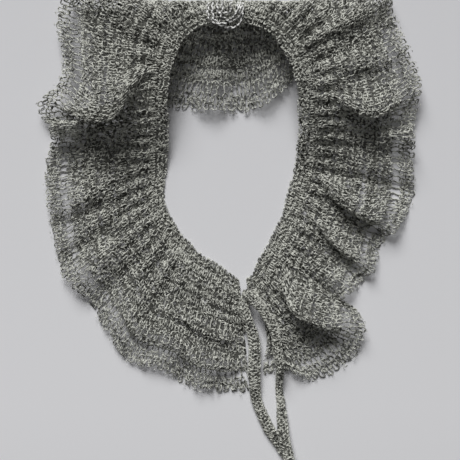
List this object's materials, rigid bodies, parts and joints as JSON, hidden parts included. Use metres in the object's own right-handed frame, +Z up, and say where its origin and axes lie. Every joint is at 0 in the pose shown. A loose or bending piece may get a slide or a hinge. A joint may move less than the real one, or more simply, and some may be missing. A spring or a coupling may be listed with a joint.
{
  "type": "knitted lace collar",
  "caption": "Knitted lace collar laid flat: a narrow neckband with a deep ruffle in folds, its back turned under, and two knitted ties at the front.",
  "frame": {"origin": "centre of the collar's footprint without its ties, on the surface that it lies on", "axes": "+Z up from that surface, +Y from the front opening towards the back of the neck, +X to the right seen from above"},
  "size_m": [0.2662, 0.3467, 0.0311],
  "materials": {
    "lace_yarn": "hand-knitted lace in silver-grey marled yarn",
    "band_yarn": "dense hand knitting in silver-grey marled yarn"
  },
  "bodies": {
    "root": {"neckband": "band_yarn", "ruffle_front_left": "lace_yarn", "ruffle_back": "lace_yarn", "ruffle_front_right": "lace_yarn", "tie_left": "band_yarn", "tie_right": "band_yarn"}
  },
  "joints": []
}
